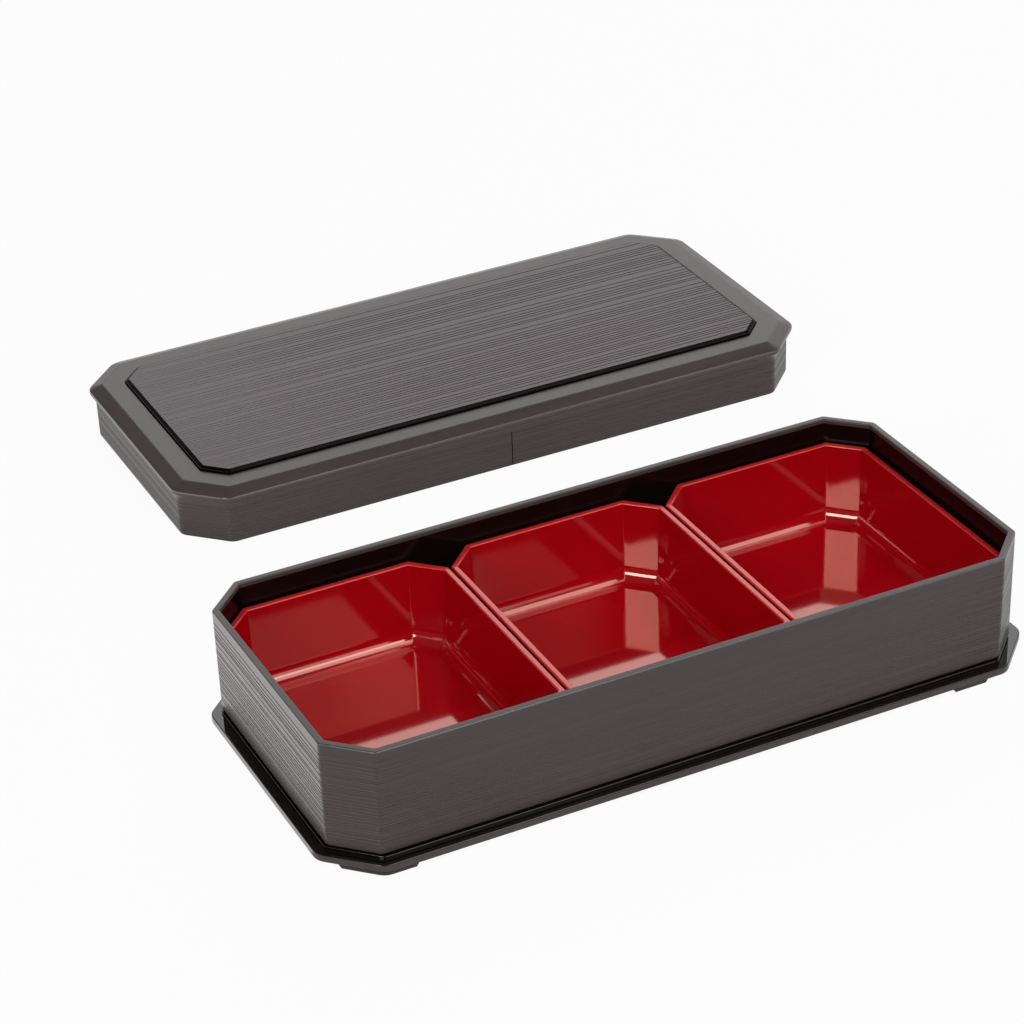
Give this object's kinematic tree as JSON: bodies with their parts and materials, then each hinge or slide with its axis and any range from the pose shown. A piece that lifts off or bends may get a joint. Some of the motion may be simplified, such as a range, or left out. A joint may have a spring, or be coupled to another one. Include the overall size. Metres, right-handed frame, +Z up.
{
  "type": "bento box",
  "caption": "Rectangular bento box with cut corners on a base plate with low feet, with lift-out food trays and a ribbed cover lid taken off and lying behind it.",
  "frame": {"origin": "centre of the base plate's recessed underside; the surface that everything stands on is 3.2 mm below it", "axes": "+Z up, +X along the box's long side to the right seen from the front, +Y from the front to the back, where the lid lies"},
  "size_m": [0.3874, 0.4348, 0.0575],
  "materials": {
    "box_body": "satin, fine ribs outside, gloss black inside",
    "base_plate": "gloss top, satin side",
    "foot": "satin",
    "tray": "high gloss",
    "lid_shell": "satin, fine ribs on the skirt",
    "lid_panel": "satin with fine ribs along its length, gloss side"
  },
  "bodies": {
    "box": {"box_body": "box_body", "base_plate": "base_plate", "foot_front_left": "foot", "foot_front_right": "foot", "foot_back_left": "foot", "foot_back_right": "foot"},
    "tray_left_body": {"tray_left": "tray"},
    "tray_middle_body": {"tray_middle": "tray"},
    "tray_right_body": {"tray_right": "tray"},
    "lid": {"lid_shell": "lid_shell", "lid_panel": "lid_panel"}
  },
  "joints": [
    {"name": "tray_left_lift", "type": "slide", "parent": "box", "child": "tray_left_body", "axis": [0, 0, 1], "range_m": [0, 0.06]},
    {"name": "tray_middle_lift", "type": "slide", "parent": "box", "child": "tray_middle_body", "axis": [0, 0, 1], "range_m": [0, 0.06]},
    {"name": "tray_right_lift", "type": "slide", "parent": "box", "child": "tray_right_body", "axis": [0, 0, 1], "range_m": [0, 0.06]},
    {"name": "lid_lift", "type": "slide", "parent": "box", "child": "lid", "axis": [0, 0, 1], "range_m": [0, 0.08]}
  ]
}
